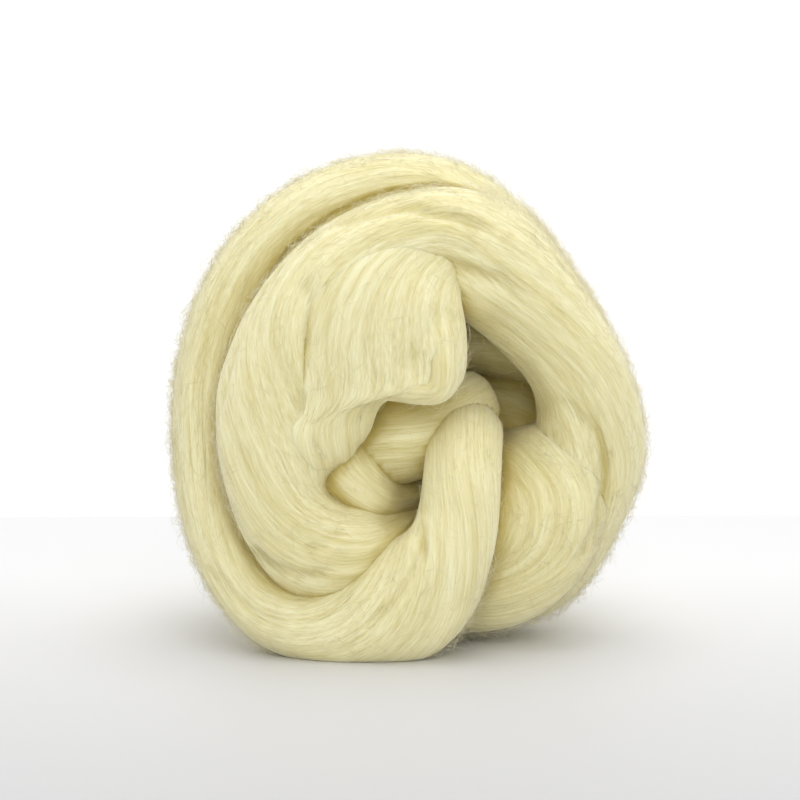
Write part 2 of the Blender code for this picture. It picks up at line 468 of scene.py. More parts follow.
# %% The flow of the fibres
# How far round its lap a fibre has turned by each row, in turns.
TWISTS = {
    "wrap": [(0, 0), (3, 0), (9, 0.42), (12, 0.46), (25, 0.55)],
    "band": [(0, 0), (3, 0), (9, 0.22), (12.5, 0.26), (17, 0.62), (21, 0.70)],
    "side_lap": [(0, 0), (1.5, 0), (4, 0.16), (5, 0.12), (7, -0.22), (8, -0.27)],
    "petal": [(0, 0), (13, 0.0)],
}
# The other laps turn this share of a turn in each metre.
LOOSE_TWIST = 0.1
WANDER = 0.6 * MM
# A wander is the sum of waves: length, height, and how much a lap's own phase counts.
WANDER_WAVES = [(21 * MM, 1.0, 1.0), (11 * MM, 0.5, 2.1)]
PHASE_STEP = 1.7
# How many places a twist is worked out at, and how many of them each is averaged over.
TWIST_PLACES = 200
TWIST_SPREAD = 21


def row_distances(name):
    """How far along its lap each row lies, in metres."""
    return sections(LAPS[name], STEPS_A_ROW)[1][::STEPS_A_ROW]


def twist_of(name):
    """A smooth curve of turns against the distance along a lap."""
    at_rows = row_distances(name)
    distance = np.linspace(0, at_rows[-1], TWIST_PLACES)
    if name not in TWISTS:
        return distance, LOOSE_TWIST * distance
    rows, turns = np.array(TWISTS[name], dtype=float).T
    value = np.interp(distance, np.interp(rows, np.arange(len(at_rows)), at_rows), turns)
    padded = np.pad(value, TWIST_SPREAD // 2, mode="edge")
    return distance, np.convolve(padded, np.ones(TWIST_SPREAD) / TWIST_SPREAD, mode="valid")


twists = {name: twist_of(name) for name in LAPS}


def drift(name, along):
    """How far round the lap a fibre has turned, as a share of the girth."""
    phase = PHASE_STEP * list(LAPS).index(name)
    wander = sum(high * np.sin(along / run + own * phase) for run, high, own in WANDER_WAVES)
    return np.interp(along, *twists[name]) + WANDER * wander / girth[name]


# %% Read numbers from a mesh
def column(mesh, key):
    """One number a point, from a mesh's attribute."""
    values = np.empty(len(mesh.vertices), dtype=np.float32)
    mesh.attributes[key].data.foreach_get("value", values)
    return values.astype(float)


def points_of(mesh):
    """The points of a mesh, in metres."""
    values = np.empty(3 * len(mesh.vertices), dtype=np.float32)
    mesh.vertices.foreach_get("co", values)
    return values.reshape(-1, 3).astype(float)


def normals_of(mesh):
    """The outward direction at each point of a mesh."""
    values = np.empty(3 * len(mesh.vertices), dtype=np.float32)
    mesh.vertex_normals.foreach_get("vector", values)
    return values.reshape(-1, 3).astype(float)


# %% [markdown]
# ## Furrows
#
# A combed sliver isn't smooth like dough. Its fibres gather in locks a few millimetres
# wide, and between them are shallow furrows that run on for centimetres. A Displace
# modifier with a noise would make round lumps, so this noise is stretched along the flow:
# its cells are long one way and narrow the other, and they close up round the lap.

# %% Long narrow noise
# A row is: pitch across, length along, height, all in mm.
FURROWS = [
    (11.0, 60.0, 0.55),
    (5.0, 40.0, 0.32),
    (2.2, 28.0, 0.15),
]


def long_noise(along, around, cells_along, cells_around, seed):
    """Smooth noise from -1 to 1 whose cells close up round the lap."""
    random = np.random.default_rng(seed)
    table = random.uniform(-1, 1, (cells_along + 2, cells_around))
    row = np.clip(along, 0, cells_along)
    column_at = around % 1.0 * cells_around
    low_row, low_column = row.astype(int), column_at.astype(int)
    row_part, column_part = row - low_row, column_at - low_column
    row_part, column_part = eased(row_part), eased(column_part)
    low_column %= cells_around
    next_column = (low_column + 1) % cells_around

    def across_row(row):
        """The noise on one row of cells."""
        return (table[row, low_column] * (1 - column_part)
                + table[row, next_column] * column_part)

    return across_row(low_row) * (1 - row_part) + across_row(low_row + 1) * row_part


def furrowed(name, along, around):
    """The height of the furrows, in metres."""
    height = np.zeros_like(along)
    length = along.max() - along.min() + 1e-6
    for index, (pitch, run, high) in enumerate(FURROWS):
        cells_along = max(2, round(length / (run * MM)))
        cells_around = max(3, round(girth[name] / (pitch * MM)))
        shifted = (along - along.min()) / length * cells_along
        # The cells start at other places round the lap, so that no ring of them shows.
        shifted = shifted + 0.5 * np.sin(2 * math.pi * around * 3 + index)
        seed = 100 * (index + 1) + list(LAPS).index(name)
        height += high * MM * long_noise(shifted, around, cells_along, cells_around, seed)
    return height


# %% [markdown]
# ## Creases
#
# The deep creases are where laps fold or press on each other. A hand modeller would draw
# each one with a crease brush. Here each is a line of points (across, up), with its half
# width and its depth, and it presses a soft trough into the front of the laps it names.

# %% Where the creases are
# A row is: laps, half width, depth, and the line (across, up), all in mm.
CREASES = [
    ("band petal", 3.2, 1.7, [(-29, 124), (-32, 112), (-33, 96), (-33.5, 84), (-34.5, 72)]),
    ("band petal", 1.2, 0.6, [(-30, 120), (-32, 109), (-33, 96), (-33.5, 86)]),
    ("petal", 2.5, 0.9, [(11, 113), (4, 100), (-4, 90)]),
    ("petal", 5.0, 1.0, [(6, 98), (0, 91), (-5, 84)]),
    ("band", 2.2, 2.2, [(-30, 136), (-14, 140), (-1, 142.5), (14, 139), (28, 133)]),
    ("band", 2.6, 2.2, [(-6, 127), (3, 125), (14, 123.5), (28, 120), (40, 112)]),
    ("band", 2.2, 1.6, [(-52, 37), (-45, 31), (-35, 27.5), (-22, 29)]),
    ("band", 1.8, 1.2, [(-33, 36), (-27, 38.6), (-19, 42.5)]),
    ("wrap", 1.6, 1.6, [(2, 44), (3, 37), (0, 29), (-6, 20), (-15, 10)]),
    ("wrap", 1.4, 1.3, [(3.5, 45), (4, 32)]),
    ("wrap", 2.4, 1.4, [(-66, 32), (-57, 20), (-48, 14), (-38, 12)]),
    ("band wrap", 1.0, 1.4, [(-61, 62), (-60.5, 77), (-55.6, 96), (-48.5, 112), (-39, 127),
                             (-25, 138.7), (-8, 146.3), (7, 148.5), (17, 147), (25, 144)]),
    ("band", 6.0, 1.6, [(20, 112), (29, 101), (37, 90), (41, 80), (42, 70)]),
    ("side_lap band wrap", 2.8, 1.3, [(42, 83), (51, 79), (58.5, 71.7), (62.3, 62.3), (62.3, 48),
                                      (58.5, 34.6), (47, 24)]),
    ("side_lap band wrap", 1.1, 0.9, [(52, 79), (60, 69.5), (62.6, 60.7), (62.3, 52), (60, 40),
                                      (55.3, 32.2), (48, 24)]),
]

# Two laps that are one sheet, or lie so close that the crease between them is soft: the
# radius over which they run into each other, and round which place (across, up) and how
# far from it they do, in mm.
SOFT_JOINS = [
    ("petal", "band", 13.0, (-20, 104), 50),
    ("petal", "petal_lip", 7.0, (8, 88), 40),
    ("wrap", "band", 2.5, (-50, 80), 90),
    ("wrap", "band", 16.0, (46, 128), 26),
    ("inner_lap", "band", 4.0, (-20, 55), 40),
    ("inner_lap", "petal", 4.0, (-20, 55), 40),
    ("petal", "band", 9.0, (-34, 62), 16),
    ("hind_lap", "side_lap", 10.0, (40, 66), 22),
    ("side_lap", "band", 5.0, (56, 50), 34),
    ("wrap", "side_lap", 10.0, (28, 34), 40),
    ("wrap", "band", 8.0, (28, 12), 24),
    ("hind_lap", "band", 6.0, (44, 76), 20),
    ("deep_lap", "hind_lap", 6.0, (28, 85), 26),
    ("core", "inner_lap", 5.0, (-4, 54), 18),
]


# %% Helpers that press and join
# A crease fades over this share of its line at each end.
CREASE_FADE = 0.18
# How far a lap sinks at most where it runs inside another, in metres.
DEEPEST_SINK = 0.5 * MM
# A join is left out where less than this share of it is left.
FAINTEST_JOIN = 0.02


def run_together(other, radius, middle, reach, points):
    """How far a lap rises where another is near, in metres. Inside the other it sinks."""
    across, up, front = winding_place(points)
    near_middle = np.exp(-(np.hypot(across - middle[0], up - middle[1]) / reach) ** 4)
    lift = np.zeros(len(points))
    radius = radius * MM
    for index in np.flatnonzero(near_middle > FAINTEST_JOIN):
        point = Vector(points[index])
        nearest, normal, face, distance = smooth_trees[other].find_nearest(point, radius)
        if nearest is None:
            continue
        if (point - nearest).dot(normal) < 0:
            inside = max(distance - radius / 4, 0)
            lift[index] = max(radius / 4 - inside, -DEEPEST_SINK)
        else:
            lift[index] = (radius - distance) ** 2 / (4 * radius)
    return lift * near_middle


def off_line(across, up, line):
    """The distance of points to a line of points, and how far along it, from 0 to 1."""
    line = np.array(line, dtype=float)
    best = np.full(len(across), np.inf)
    place = np.zeros(len(across))
    for index, (start, end) in enumerate(zip(line, line[1:])):
        run = end - start
        part = ((across - start[0]) * run[0] + (up - start[1]) * run[1]) / (run @ run)
        part = np.clip(part, 0, 1)
        distance = np.hypot(across - start[0] - part * run[0], up - start[1] - part * run[1])
        closer = distance < best
        best[closer] = distance[closer]
        place[closer] = (index + part[closer]) / (len(line) - 1)
    return best, place


def creased(name, points, normals):
    """How deep the creases press each point, in metres."""
    across, up, front = winding_place(points)
    # Wool that faces the front is pressed fully, and wool that faces sideways a little.
    facing = np.clip(-normals[:, 1] * 2 + 0.3, 0, 1)
    depth = np.zeros(len(points))
    for names, half_width, deep, line in CREASES:
        if name in names.split():
            distance, place = off_line(across, up, line)
            ends = eased(np.clip(np.minimum(place, 1 - place) / CREASE_FADE, 0, 1))
            depth += deep * MM * ends * facing * np.exp(-(distance / half_width) ** 2)
    return depth


def faces_of(mesh):
    """The corner numbers of each face."""
    return [tuple(face.vertices) for face in mesh.polygons]


def tree_of(mesh):
    """A search tree of a mesh's faces."""
    return BVHTree.FromPolygons([tuple(point) for point in points_of(mesh)], faces_of(mesh))


# %% Press the laps, store the flow and the painted shade of the folds
# Painted shade: how much darker a crease 1 mm deep is, and a valley 1 mm deep between locks.
CREASE_SHADE = 0.10
VALLEY_SHADE = 0.28
smooth_trees = {name: tree_of(lap.data) for name, lap in laps.items()}
flow_place = {}
pressed = {}
for name, lap in laps.items():
    mesh = lap.data
    along = column(mesh, "along")
    around = np.arctan2(column(mesh, "round_y"), column(mesh, "round_x")) / (2 * math.pi)
    turned = around - drift(name, along)
    flow_place[name] = np.stack([along, turned], axis=1)
    points, normals = points_of(mesh), normals_of(mesh)
    furrows = furrowed(name, along, turned)
    creases = creased(name, points, normals)
    # The painted shade of the creases and of the valleys between the furrows.
    pressed[name] = (CREASE_SHADE * creases - VALLEY_SHADE * np.minimum(furrows, 0)) / MM
    lift = furrows - creases
    for first, second, *join in SOFT_JOINS:
        if name in (first, second):
            lift += run_together(second if name == first else first, *join, points)
    points += normals * lift[:, None]
    points[:, 2] = np.maximum(points[:, 2], LOWEST)
    mesh.vertices.foreach_set("co", points.astype(np.float32).ravel())
    flow = mesh.attributes.new("flow", "FLOAT_VECTOR", "POINT")
    radius = girth[name] / (2 * math.pi)
    angle = 2 * math.pi * turned
    # Each lap starts a metre on, so that no two laps have the same streaks.
    start = list(LAPS).index(name)
    place = np.stack([along + start, radius * np.cos(angle), radius * np.sin(angle)], axis=1)
    flow.data.foreach_set("vector", place.astype(np.float32).ravel())
    for key in (*LAYERS, "side"):
        mesh.attributes.remove(mesh.attributes[key])
    mesh.update()
lowest = min(points_of(lap.data)[:, 2].min() for lap in laps.values())
print("lowest point, mm:", round(lowest / MM, 2))

# %% [markdown]
# ## Loose fibres
#
# What makes wool look like wool is its single fibres. They lie on the laps in their
# thousands, and each is finer than a hair. A hair system would need a render engine's own
# hair, which an exported model loses, so they are a mesh: one fibre is a thin three-sided
# rod drawn out to a point at both ends, and each copy is laid along its own path.

# %% Model one fibre
# How many places along it a long and a short fibre can bend at, its ends among them.
FIBRE_STATIONS = 6
SHORT_STATIONS = 4


def one_fibre(stations):
    """The triangles of a rod with a point at each end, and each vertex's station and side."""
    bpy.ops.mesh.primitive_circle_add(vertices=3, radius=1.0, fill_type="NOTHING",
                                      location=(0, 0, 1))
    rod = bpy.context.object
    bpy.ops.object.mode_set(mode="EDIT")
    bpy.ops.mesh.select_all(action="SELECT")
    for station in range(2, stations):
        bpy.ops.mesh.extrude_region_move(TRANSFORM_OT_translate={"value": (0, 0, 1)})
    bpy.ops.mesh.merge(type="CENTER")
    bpy.ops.mesh.select_all(action="DESELECT")
    cage = bmesh.from_edit_mesh(rod.data)
    for point in cage.verts:
        point.select_set(point.co.z < 0.01)
    cage.select_flush(True)
    bmesh.update_edit_mesh(rod.data)
    bpy.ops.mesh.extrude_region_move(TRANSFORM_OT_translate={"value": (0, 0, -1)})
    bpy.ops.mesh.merge(type="CENTER")
    bpy.ops.mesh.select_all(action="SELECT")
    bpy.ops.mesh.normals_make_consistent(inside=False)
    bpy.ops.mesh.quads_convert_to_tris()
    bpy.ops.object.mode_set(mode="OBJECT")
    mesh = rod.data
    faces = np.array([list(face.vertices) for face in mesh.polygons])
    points = points_of(mesh)
    bpy.data.objects.remove(rod)
    bpy.data.meshes.remove(mesh)
    station = np.rint(points[:, 2]).astype(int)
    station -= station.min()
    return faces, station, points[:, :2]


SORTS = {count: one_fibre(count) for count in (FIBRE_STATIONS, SHORT_STATIONS)}
print("triangles in one fibre:", {count: len(sort[0]) for count, sort in SORTS.items()})

# %% [markdown]
# The copies need to know where the wool is. A search tree of each lap's faces answers two
# questions fast: what is the nearest point on this lap, and what does a ray hit. A point
# of a fibre shows only if a ray straight out from it doesn't come out of another lap.

# %% Search trees, and a fine grid of each lap
GRID_ROUND = 96
GRID_STEPS = 6
# A ray starts this far above the wool. Where it leaves a lap from behind, that lap hides the
# point only if it is closer than the second, in mm.
RAY_START = 0.3
CLEAR = 1.2


def lap_grid(rows):
    """Points at even shares of the girth on many sections, and how far along each lies."""
    turn = np.linspace(0, 2 * math.pi, GRID_ROUND, endpoint=False)
    rings, distances = sections(rows, GRID_STEPS, turn)
    shares = shares_round(rings)[0]
    even = np.linspace(0, 1, GRID_ROUND, endpoint=False)
    grid = np.empty_like(rings)
    for level, ring, share in zip(grid, rings, shares):
        closed = np.append(ring, ring[:1], axis=0)
        for axis in range(3):
            level[:, axis] = np.interp(even, np.append(share, 1.0), closed[:, axis])
    return grid, distances


def on_grid(name, along, around):
    """Points of a lap's smooth form at distances along it and shares round it."""
    grid, distances = grids[name]
    row = np.interp(along, distances, np.arange(len(distances)))
    row = np.clip(row, 0, len(distances) - 1.001)
    place = around % 1.0 * GRID_ROUND
    low, left = row.astype(int), place.astype(int) % GRID_ROUND
    up, across = (row - low)[..., None], (place - place.astype(int))[..., None]
    right = (left + 1) % GRID_ROUND
    near = grid[low, left] * (1 - across) + grid[low, right] * across
    far = grid[low + 1, left] * (1 - across) + grid[low + 1, right] * across
    return near * (1 - up) + far * up


grids = {name: lap_grid(rows) for name, rows in LAPS.items()}
trees = {name: tree_of(lap.data) for name, lap in laps.items()}
all_points, all_faces = [], []
for lap in laps.values():
    start = len(all_points)
    all_points += [tuple(point) for point in points_of(lap.data)]
    all_faces += [tuple(corner + start for corner in face) for face in faces_of(lap.data)]
everything = BVHTree.FromPolygons(all_points, all_faces)
print("faces in the tree of the whole nest:", len(all_faces))


def shows(point, normal):
    """Whether a point on a lap isn't under another lap."""
    hit, hit_normal, face, distance = everything.ray_cast(point + normal * RAY_START * MM, normal)
    if hit is None:
        return True
    return hit_normal.dot(normal) < 0 and distance > CLEAR * MM


def snapped(name, place):
    """The nearest points on a lap, the directions out, whether each shows, and the faces."""
    flat = place.reshape(-1, 3)
    points, normals = np.empty_like(flat), np.empty_like(flat)
    seen, faces = np.zeros(len(flat), dtype=bool), np.zeros(len(flat), dtype=int)
    for index, spot in enumerate(flat):
        point, normal, faces[index], distance = trees[name].find_nearest(Vector(spot))
        points[index], normals[index] = point, normal
        seen[index] = shows(point, normal)
    shape, rows = place.shape, place.shape[:-1]
    return points.reshape(shape), normals.reshape(shape), seen.reshape(rows), faces.reshape(rows)


# %% [markdown]
# ## Deep places: painted shade
#
# Light that reaches the bottom of a crease has been through wool many times, so the shade
# there is a dark olive, not grey, and it is painted into the colour. How deep a point lies
# is measured by rays: the more of them meet wool close by, the deeper it is. The finish
# reads this from an attribute and paints the deep places dark olive.

# %% Measure how deep each point lies
DEEP_RAYS = 12
DEEP_REACH = 28 * MM
DEEP_START = 0.5
GOLDEN_ANGLE = math.pi * (3 - math.sqrt(5))


def ray_fan(count):
    """Directions over the half space above +Z, more of them near the middle."""
    turn = np.arange(count) * GOLDEN_ANGLE
    out = np.sqrt((np.arange(count) + 0.5) / count)
    return np.stack([out * np.cos(turn), out * np.sin(turn), np.sqrt(1 - out ** 2)], axis=1)


def depth_of(points, normals):
    """How deep each point lies, from 0 in the open to 1 at the bottom of a hollow."""
    fan = ray_fan(DEEP_RAYS)
    depth = np.zeros(len(points))
    helper = np.where(np.abs(normals[:, 2:]) < 0.9, [[0, 0, 1.0]], [[1.0, 0, 0]])
    first = np.cross(normals, helper)
    first /= np.linalg.norm(first, axis=1)[:, None] + 1e-9
    second = np.cross(normals, first)
    rays = (fan[None, :, :1] * first[:, None] + fan[None, :, 1:2] * second[:, None]
            + fan[None, :, 2:] * normals[:, None])
    for index, (point, fan_there) in enumerate(zip(points + normals * DEEP_START * MM, rays)):
        start = Vector(point)
        total = 0.0
        for ray in fan_there:
            distance = everything.ray_cast(start, Vector(ray), DEEP_REACH)[3]
            if distance is not None:
                total += 1 - distance / DEEP_REACH
        depth[index] = total / DEEP_RAYS
    return depth


face_depth = {}
for name, lap in laps.items():
    mesh = lap.data
    # The depth adds the painted shade of the folds to how hidden a point is; the finish paints
    # shade by it.
    depth = depth_of(points_of(mesh), normals_of(mesh)) + pressed[name]
    attribute = mesh.attributes.new("depth", "FLOAT", "POINT")
    attribute.data.foreach_set("value", depth.astype(np.float32))
    face_depth[name] = np.array([depth[list(face.vertices)].mean() for face in mesh.polygons])
means = {name: round(float(depth.mean()), 2) for name, depth in face_depth.items()}
print("mean depth:", means)

# %% [markdown]
# ## Lay the fibres
#
# A fibre starts at a random place that shows and runs both ways along the flow. It drifts
# off the flow a little, as real ones do, is cut short where it would go under another lap,
# and its ends lift off a little.

# %% Choose where fibres start
# The fuzz is this dense everywhere, and this much denser on the rim, which begins at a
# distance from the winding's centre and is full after another, in mm.
EVEN_FUZZ = 0.2
RIM_FUZZ = 2.5
RIM_START = 52
RIM_WIDTH = 12
# Where the nest is most frayed: across, up, how much denser, and the reach in mm.
FRAYED = (66, 36, 0.5, 30)
# More starts are tried than are needed, because many lie under another lap.
TRIES = 2.6
# No fibre starts on wool that is this close to the table, in mm.
STANDING_ON = 1.0


def fuzz_density(places, normals):
    """How dense the fuzz is: more on the rim, and most where the nest is frayed."""
    across, up, front = winding_place(places)
    out = np.hypot(across, up - CENTRE_UP)
    rim = np.clip((out - RIM_START) / RIM_WIDTH, 0, 1) * (1 - np.abs(normals[:, 1])) ** 2
    frayed_across, frayed_up, denser, reach = FRAYED
    frayed = np.exp(-(np.hypot(across - frayed_across, up - frayed_up) / reach) ** 2)
    return EVEN_FUZZ + RIM_FUZZ * rim + denser * frayed


def starts(count, random, frayed=False):
    """Random places that show: lap names, and (along, turned) for each.

    They are spread evenly, or, where frayed is true, as the fuzz is."""
    names, places, weights = [], [], {}
    for name, lap in laps.items():
        mesh = lap.data
        areas = np.empty(len(mesh.polygons), dtype=np.float32)
        mesh.polygons.foreach_get("area", areas)
        areas = areas.astype(float)
        if frayed:
            centres = np.array([face.center for face in mesh.polygons])
            normals = np.array([face.normal for face in mesh.polygons])
            # Deep in the folds nothing has rubbed the wool, so hardly any fibre stands off.
            rubbed = np.clip(1.2 - 1.7 * face_depth[name], 0.04, 1)
            areas *= fuzz_density(centres, normals) * rubbed
        weights[name] = areas
    total = sum(areas.sum() for areas in weights.values())
    for name, areas in weights.items():
        mesh = laps[name].data
        tried = int(TRIES * count * areas.sum() / total)
        picks = random.choice(len(areas), tried, p=areas / areas.sum())
        for pick in picks:
            face = mesh.polygons[pick]
            if face.center.z > STANDING_ON * MM and shows(face.center, face.normal):
                names.append(name)
                places.append(flow_place[name][face.vertices[0]])
    order = random.permutation(len(names))[:count]
    return [names[index] for index in order], np.array(places)[order]


# %% Find each fibre's path
# Lengths, heights and thicknesses are in mm.
FIBRE_COUNT = 13500
FIBRE_LENGTH = (10.0, 42.0)
FIBRE_THICK = (0.05, 0.09)
# Each path is tested at this many places, and is cut short at the first that doesn't show.
TEST_STATIONS = 13
# The usual lean off the flow, and that of the share of fibres that stray.
LEAN, STRAY_LEAN, STRAY_SHARE = 0.05, 0.2, 0.15
WAVE_HEIGHT = (0.02, 0.2)
WAVE_LENGTH = (6, 14)
# No fibre runs closer to a lap's end than this.
LAP_END = 2.0


def run_length(row):
    """How many values at the start of a row are true."""
    return int(np.argmin(np.append(row, False)))


def fibre_paths(count, random):
    """Paths of fibres along the flow, the outward directions on them, and their depths."""
    names, places = starts(count, random)
    names = np.array(names)
    paths, outward, depths = [], [], []
    for name in laps:
        start = places[names == name]
        number = len(start)
        if number:
            length = random.uniform(*FIBRE_LENGTH, number) * MM
            slope = random.normal(0, LEAN, number)
            slope += random.normal(0, STRAY_LEAN, number) * (random.random(number) < STRAY_SHARE)
            wave = random.uniform(*WAVE_HEIGHT, number) * MM
            phase = random.uniform(0, 2 * math.pi, number)
            period = random.uniform(*WAVE_LENGTH, number) * MM

            def path(near, far, stations):
                """Stations between two distances from each start, and how far along they lie."""
                part = np.linspace(0, 1, stations)[None, :]
                run = near[:, None] * (1 - part) + far[:, None] * part
                waving = np.sin(run / period[:, None] + phase[:, None])
                side = slope[:, None] * run + wave[:, None] * waving
                along = start[:, :1] + run
                around = start[:, 1:] + side / girth[name] + drift(name, along)
                return on_grid(name, along, around), along

            place, along = path(-length / 2, length / 2, TEST_STATIONS)
            seen = snapped(name, place)[2]
            seen &= (along > LAP_END * MM) & (along < grids[name][1][-1] - LAP_END * MM)
            middle = TEST_STATIONS // 2
            first = np.array([middle - run_length(row[middle::-1]) + 1 for row in seen])
            last = np.array([middle + run_length(row[middle:]) - 1 for row in seen])
            step = length / (TEST_STATIONS - 1)
            place, along = path((first - middle) * step, (last - middle) * step, FIBRE_STATIONS)
            points, normals, seen, faces = snapped(name, place)
            kept = last - first >= 2
            paths.append(points[kept])
            outward.append(normals[kept])
            depths.append(face_depth[name][faces[kept]])
    return np.concatenate(paths), np.concatenate(outward), np.concatenate(depths)


# %% [markdown]
# To copy the rod by hand thousands of times would be slow, so its points are worked out
# for all the paths at once. Each copy keeps its own tone and depth as attributes, which
# the finish reads.

# %% Copy the rod along many paths
def laid(name, paths, outward, depths, thickness, tones):
    """One piece of many fibres, each a copy of the rod on its own path."""
    count, stations = paths.shape[:2]
    fibre_faces, fibre_station, fibre_side = SORTS[stations]
    tangent = np.gradient(paths, axis=1)
    tangent /= np.linalg.norm(tangent, axis=2)[..., None] + 1e-9
    side = np.cross(tangent, outward)
    side /= np.linalg.norm(side, axis=2)[..., None] + 1e-9
    up = np.cross(side, tangent)
    taper = np.ones(stations)
    taper[[0, -1]] = 0
    width = thickness[:, None] * taper[None, :] / 2
    at = fibre_station
    points = (paths[:, at] + side[:, at] * (fibre_side[:, 0] * width[:, at])[..., None]
              + up[:, at] * (fibre_side[:, 1] * width[:, at])[..., None])
    each = len(fibre_station)
    faces = (fibre_faces[None] + each * np.arange(count)[:, None, None]).reshape(-1, 3)
    mesh = bpy.data.meshes.new(name)
    mesh.vertices.add(count * each)
    mesh.vertices.foreach_set("co", points.astype(np.float32).ravel())
    mesh.loops.add(3 * len(faces))
    mesh.loops.foreach_set("vertex_index", faces.astype(np.int32).ravel())
    mesh.polygons.add(len(faces))
    mesh.polygons.foreach_set("loop_start", np.arange(0, 3 * len(faces), 3, dtype=np.int32))
    mesh.polygons.foreach_set("use_smooth", np.ones(len(faces), dtype=bool))
    tone = mesh.attributes.new("tone", "FLOAT", "POINT")
    tone.data.foreach_set("value", np.repeat(tones, each).astype(np.float32))
    # Each fibre keeps the depth of the place it lies on, for its painted shade.
    depth = mesh.attributes.new("depth", "FLOAT", "POINT")
    depth.data.foreach_set("value", depths[:, at].astype(np.float32).ravel())
    mesh.update(calc_edges=True)
    mesh.validate()
    piece = bpy.data.objects.new(name, mesh)
    bpy.context.scene.collection.objects.link(piece)
    return piece


# %% Lay the fibres
SEED = 7
# How far a fibre lies over or in the wool, and how far its ends lift off, in mm.
SUNK = 0.03
END_LIFT = 0.08

random = np.random.default_rng(SEED)
paths, outward, depths = fibre_paths(FIBRE_COUNT, random)
part = np.linspace(-1, 1, FIBRE_STATIONS)[None, :]
count = len(paths)
height = (random.uniform(-SUNK, SUNK, count)[:, None]
          + random.gamma(1.0, END_LIFT, count)[:, None] * np.abs(part) ** 3)
paths = paths + outward * (height * MM)[..., None]
paths[..., 2] = np.maximum(paths[..., 2], LOWEST_FIBRE)
print("fibres laid:", count)

# %% [markdown]
# ## Flyaways
#
# Some fibres stand off the wool, in short arches and with free ends. They are painted a
# little greyer than the rest, a painted shade for the light that passes through them, and
# they give the nest its soft edge. Most are short fuzz, and a few are longer.

# %% Raise the flyaways
# Two sorts: how many, the length, the mean height and the thickness, in mm.
FUZZ_COUNT = 23000
FUZZ_SIZES = ((3.0, 8.0), 1.3, (0.06, 0.11))
FLYAWAY_COUNT = 1500
FLYAWAY_SIZES = ((7, 18), 1.6, (0.05, 0.08))
# How far one stands off the wool, at least and at most, in mm. Those that would reach
# farther than FARTHEST outside the box round the solid are left out.
LEAST_LIFT = 0.3
HIGHEST = 4.0
FARTHEST = 8.0
# How far a root is sunk in the wool, the lean off the flow, the bend, and the share of
# them that have a free end.
ROOT, FLY_LEAN, FLY_BEND, FREE_SHARE = 0.1, 0.8, 0.35, 0.6


def flyaway_paths(count, stations, lengths, lift_mean, random):
    """Paths that leave the wool in an arch or with a free end, as fibre_paths gives them."""
    names, places = starts(count, random, frayed=True)
    paths, outward, depths = [], [], []
    part = np.linspace(0, 1, stations)
    for name, (along, turned) in zip(names, places):
        ahead = np.array([along, along + MM])
        spot = on_grid(name, ahead, turned + drift(name, ahead))
        point, normal, face, distance = trees[name].find_nearest(Vector(spot[0]))
        run = Vector(spot[1] - spot[0]).normalized()
        cross = normal.cross(run).normalized()
        lean = random.normal(0, FLY_LEAN)
        run = (run * math.cos(lean) + cross * math.sin(lean)) * random.choice([-1, 1])
        cross = normal.cross(run).normalized()
        length = random.uniform(*lengths) * MM
        high = min(LEAST_LIFT + random.gamma(2.0, lift_mean / 2), HIGHEST) * MM
        bend = random.normal(0, FLY_BEND) * length
        lift = high * (part ** 1.4 if random.random() < FREE_SHARE else np.sin(math.pi * part))
        paths.append(np.array(point) + np.outer(part * length, run)
                     + np.outer(lift - ROOT * MM, normal) + np.outer(bend * part ** 2, cross))
        outward.append(np.tile(np.array(normal), (stations, 1)))
        depths.append(np.full(stations, face_depth[name][face]))
    paths = np.array(paths)
    paths[..., 2] = np.maximum(paths[..., 2], LOWEST)
    low, high = np.array(CAD_BOX)
    inside = (paths > low - FARTHEST * MM) & (paths < high + FARTHEST * MM)
    kept = inside.all(axis=(1, 2))
    return paths[kept], np.array(outward)[kept], np.array(depths)[kept]


def in_pieces(name, pieces, fibres, thickness, random):
    """Fibres of one sort, laid as one or more pieces from the front to the back."""
    paths, outward, depths = fibres
    thickness = random.uniform(*thickness, len(paths)) * MM
    tones = random.random(len(paths))
    order = np.argsort(paths[:, paths.shape[1] // 2, 1], kind="stable")
    made = []
    for number, chosen in enumerate(np.array_split(order, pieces), start=1):
        parts = (each[chosen] for each in (paths, outward, depths, thickness, tones))
        made.append(laid(f"{name}_{number}", *parts))
    return made


fibres = in_pieces("loose_fibres", 2, (paths, outward, depths), FIBRE_THICK, random)
lengths, lift_mean, thickness = FUZZ_SIZES
short_ones = flyaway_paths(FUZZ_COUNT, SHORT_STATIONS, lengths, lift_mean, random)
fuzz = in_pieces("fuzz", 2, short_ones, thickness, random)
lengths, lift_mean, thickness = FLYAWAY_SIZES
long_ones = flyaway_paths(FLYAWAY_COUNT, FIBRE_STATIONS, lengths, lift_mean, random)
fuzz += in_pieces("flyaways", 1, long_ones, thickness, random)
print("triangles:", {piece.name: len(piece.data.polygons) for piece in fibres + fuzz})

# %% [markdown]
# ## The wool's finish
#
# Undyed wool is cream, matt, and a little shiny along its fibres. The streaks are a Noise
# Texture that reads the flow: its cells are long one way and fine the other. Maths on
# sockets is written as Python expressions with a small class.


# %% Sockets that take sums
class Socket:
    """An output socket of a material, on which sums add Math nodes."""

    def __init__(self, finish, socket):
        self.finish = finish
        self.socket = socket

    def __add__(self, other):
        return self.finish.sum_up("ADD", self, other)

    def __radd__(self, other):
        return self.finish.sum_up("ADD", other, self)

    def __sub__(self, other):
        return self.finish.sum_up("SUBTRACT", self, other)

    def __rsub__(self, other):
        return self.finish.sum_up("SUBTRACT", other, self)

    def __mul__(self, other):
        return self.finish.sum_up("MULTIPLY", self, other)

    def __rmul__(self, other):
        return self.finish.sum_up("MULTIPLY", other, self)


